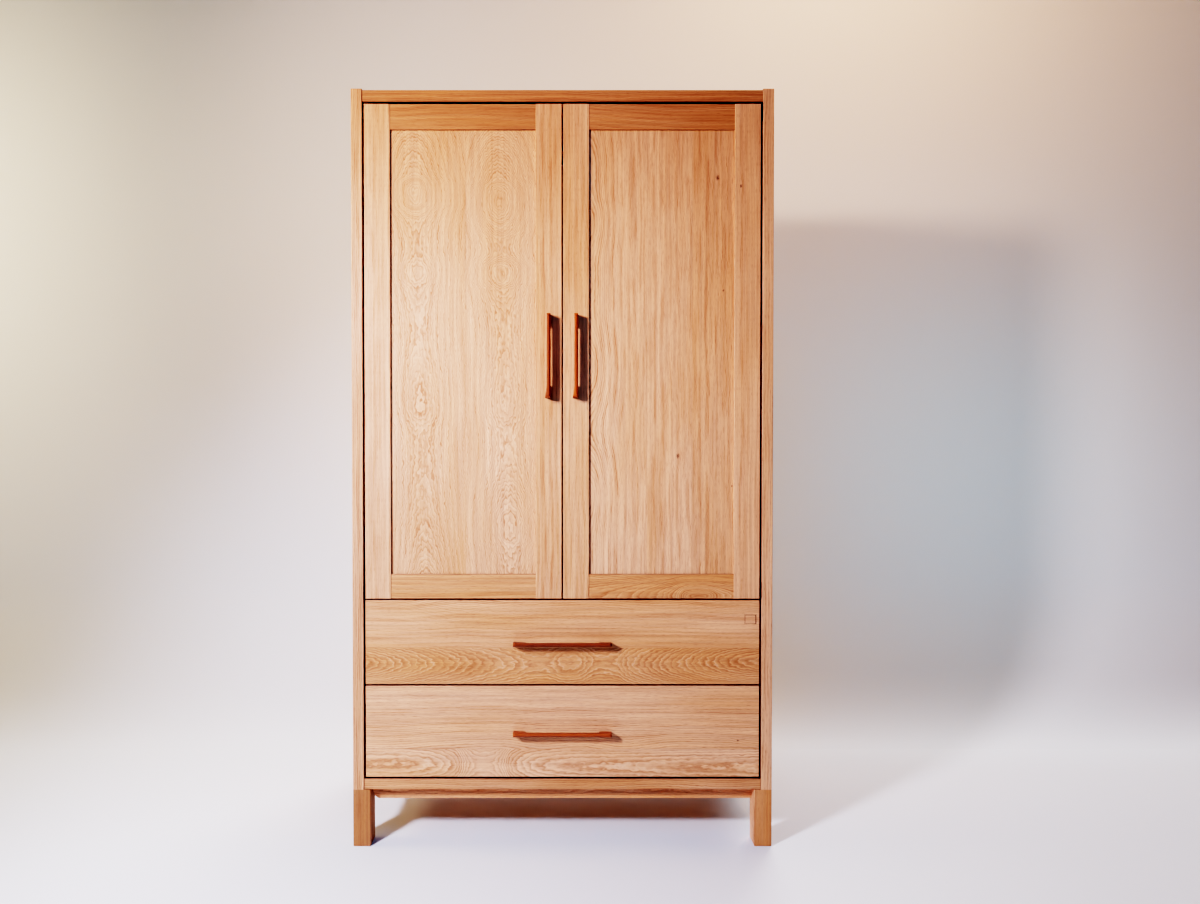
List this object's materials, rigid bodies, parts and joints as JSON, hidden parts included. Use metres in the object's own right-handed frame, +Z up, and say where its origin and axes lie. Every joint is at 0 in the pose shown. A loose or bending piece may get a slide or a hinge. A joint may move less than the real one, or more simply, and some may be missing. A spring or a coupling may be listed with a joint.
{
  "type": "wardrobe",
  "caption": "Free-standing oak wardrobe: framed doors over a hanging space with a rail, full-width drawers below, slim wooden pulls, on a low leg frame.",
  "frame": {"origin": "on the floor, in the middle of the whole footprint, pulls included", "axes": "+X to the right of someone who faces the doors, +Y from the doors to the back, +Z up"},
  "size_m": [1.055, 0.611, 1.9],
  "materials": {
    "oak_case": "satin oiled oak, upright grain on the sides, level on the boards",
    "oak_doors": "satin oiled oak",
    "oak_drawer_fronts": "satin oiled oak, level grain",
    "oak_leg_frame": "satin oiled oak, a darker stick",
    "pull_wood": "satin oiled dark red-brown hardwood",
    "drawer_box_wood": "bare pale wood, sealed",
    "drawer_ply": "sanded plywood, sealed",
    "back_ply": "oak-faced plywood, sealed",
    "dowel_wood": "bare turned beech",
    "rail_steel": "brushed",
    "fitting_steel": "satin plated",
    "screw_steel": "zinc plated",
    "bush_brass": "machined",
    "catch_plastic": "matt"
  },
  "bodies": {
    "case": {"apron_screws": "screw_steel", "back_panel": "back_ply", "back_panel_screws": "screw_steel", "bottom_board": "oak_case", "door_catches": "catch_plastic", "dowels": "dowel_wood", "fitting_screws": "screw_steel", "fixed_shelf": "oak_case", "front_apron": "oak_leg_frame", "front_left_leg": "oak_leg_frame", "front_right_leg": "oak_leg_frame", "hanging_rail": "rail_steel", "left_apron": "oak_leg_frame", "left_pivot_brackets": "fitting_steel", "left_rail_socket": "fitting_steel", "left_side": "oak_case", "lower_drawer_runners": "drawer_box_wood", "rear_apron": "oak_leg_frame", "rear_left_leg": "oak_leg_frame", "rear_right_leg": "oak_leg_frame", "right_apron": "oak_leg_frame", "right_pivot_brackets": "fitting_steel", "right_rail_socket": "fitting_steel", "right_side": "oak_case", "top_board": "oak_case", "upper_drawer_runners": "drawer_box_wood"},
    "left_door": {"left_door_bottom_rail": "oak_doors", "left_door_handle": "pull_wood", "left_door_handle_screws": "screw_steel", "left_door_hinge_stile": "oak_doors", "left_door_meeting_stile": "oak_doors", "left_door_panel": "oak_doors", "left_door_pivot_bushes": "bush_brass", "left_door_strike_plate": "fitting_steel", "left_door_top_rail": "oak_doors"},
    "lower_drawer": {"lower_drawer_back": "drawer_box_wood", "lower_drawer_bottom": "drawer_ply", "lower_drawer_front": "oak_drawer_fronts", "lower_drawer_handle": "pull_wood", "lower_drawer_handle_screws": "screw_steel", "lower_drawer_left_side": "drawer_box_wood", "lower_drawer_right_side": "drawer_box_wood"},
    "right_door": {"right_door_bottom_rail": "oak_doors", "right_door_handle": "pull_wood", "right_door_handle_screws": "screw_steel", "right_door_hinge_stile": "oak_doors", "right_door_meeting_stile": "oak_doors", "right_door_panel": "oak_doors", "right_door_pivot_bushes": "bush_brass", "right_door_strike_plate": "fitting_steel", "right_door_top_rail": "oak_doors"},
    "upper_drawer": {"upper_drawer_back": "drawer_box_wood", "upper_drawer_bottom": "drawer_ply", "upper_drawer_front": "oak_drawer_fronts", "upper_drawer_handle": "pull_wood", "upper_drawer_handle_screws": "screw_steel", "upper_drawer_left_side": "drawer_box_wood", "upper_drawer_right_side": "drawer_box_wood"}
  },
  "joints": [
    {"name": "left_door_hinge", "type": "hinge", "parent": "case", "child": "left_door", "pos_m": [-0.4855, -0.263, 1.2445], "axis": [0, 0, -1], "range_deg": [0, 105]},
    {"name": "right_door_hinge", "type": "hinge", "parent": "case", "child": "right_door", "pos_m": [0.4855, -0.263, 1.2445], "axis": [0, 0, 1], "range_deg": [0, 105]},
    {"name": "upper_drawer_slide", "type": "slide", "parent": "case", "child": "upper_drawer", "axis": [0, -1, 0], "range_m": [0, 0.38]},
    {"name": "lower_drawer_slide", "type": "slide", "parent": "case", "child": "lower_drawer", "axis": [0, -1, 0], "range_m": [0, 0.38]}
  ]
}
